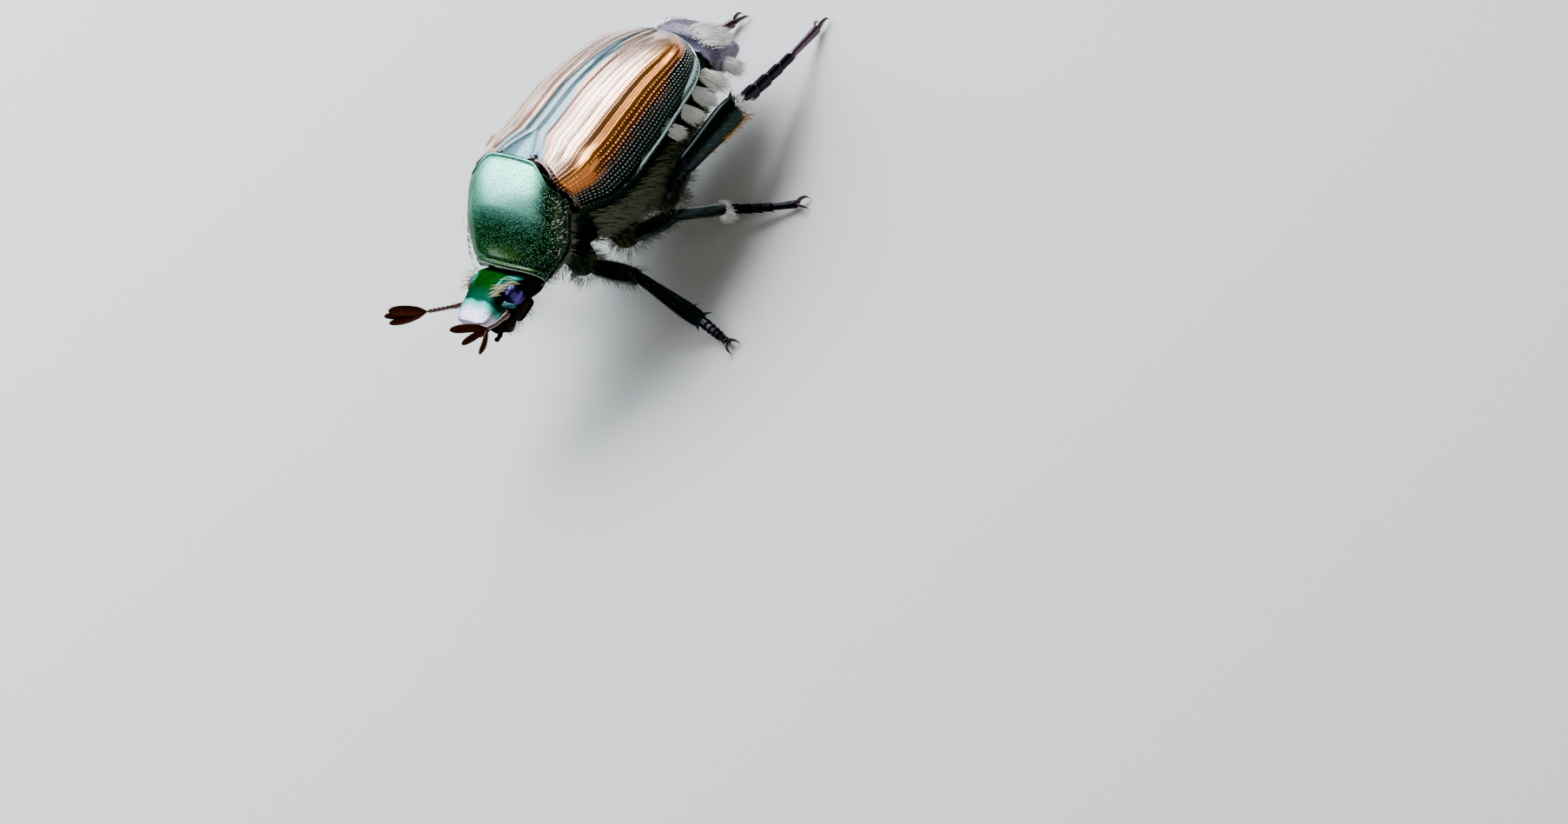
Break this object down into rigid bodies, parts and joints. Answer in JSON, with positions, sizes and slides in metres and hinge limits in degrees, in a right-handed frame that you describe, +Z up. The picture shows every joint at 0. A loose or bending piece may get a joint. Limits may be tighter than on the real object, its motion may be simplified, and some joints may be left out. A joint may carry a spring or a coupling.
{
  "type": "japanese beetle",
  "caption": "Standing life-size beetle with a green fore body, ribbed copper wing cases, fan-tipped feelers and white hair tufts, as a still display model.",
  "frame": {"origin": "middle of the whole beetle's footprint box, on the floor that its feet stand on", "axes": "-Y the way the head faces, +X the beetle's left, +Z up"},
  "size_m": [0.0126, 0.0146, 0.0057],
  "materials": {
    "green_shell": "glossy, finely pitted, metallic green",
    "copper_shell": "glossy, ribbed, copper brown with dark green edges",
    "dark_body": "black green with pale hair",
    "dark_leg": "black green, satin",
    "brown_feelers": "dark red brown, satin",
    "eye": "glossy violet black"
  },
  "bodies": {
    "root": {"pronotum": "green_shell", "head": "green_shell", "mouthparts": "brown_feelers", "scutellum": "green_shell", "thorax": "dark_body", "abdomen": "dark_body", "pygidium": "dark_body", "elytron_left": "copper_shell", "eye_left": "eye", "antenna_left_stalk": "brown_feelers", "antenna_left_club": "brown_feelers", "palp_left": "brown_feelers", "leg_fore_left_coxa": "dark_leg", "leg_fore_left_femur": "dark_leg", "leg_fore_left_tibia": "dark_leg", "leg_fore_left_tarsus": "dark_leg", "leg_mid_left_coxa": "dark_leg", "leg_mid_left_femur": "dark_leg", "leg_mid_left_tibia": "dark_leg", "leg_mid_left_tarsus": "dark_leg", "leg_hind_left_coxa": "dark_leg", "leg_hind_left_femur": "dark_leg", "leg_hind_left_tibia": "dark_leg", "leg_hind_left_tarsus": "dark_leg", "elytron_right": "copper_shell", "eye_right": "eye", "antenna_right_stalk": "brown_feelers", "antenna_right_club": "brown_feelers", "palp_right": "brown_feelers", "leg_fore_right_coxa": "dark_leg", "leg_fore_right_femur": "dark_leg", "leg_fore_right_tibia": "dark_leg", "leg_fore_right_tarsus": "dark_leg", "leg_mid_right_coxa": "dark_leg", "leg_mid_right_femur": "dark_leg", "leg_mid_right_tibia": "dark_leg", "leg_mid_right_tarsus": "dark_leg", "leg_hind_right_coxa": "dark_leg", "leg_hind_right_femur": "dark_leg", "leg_hind_right_tibia": "dark_leg", "leg_hind_right_tarsus": "dark_leg"}
  },
  "joints": []
}
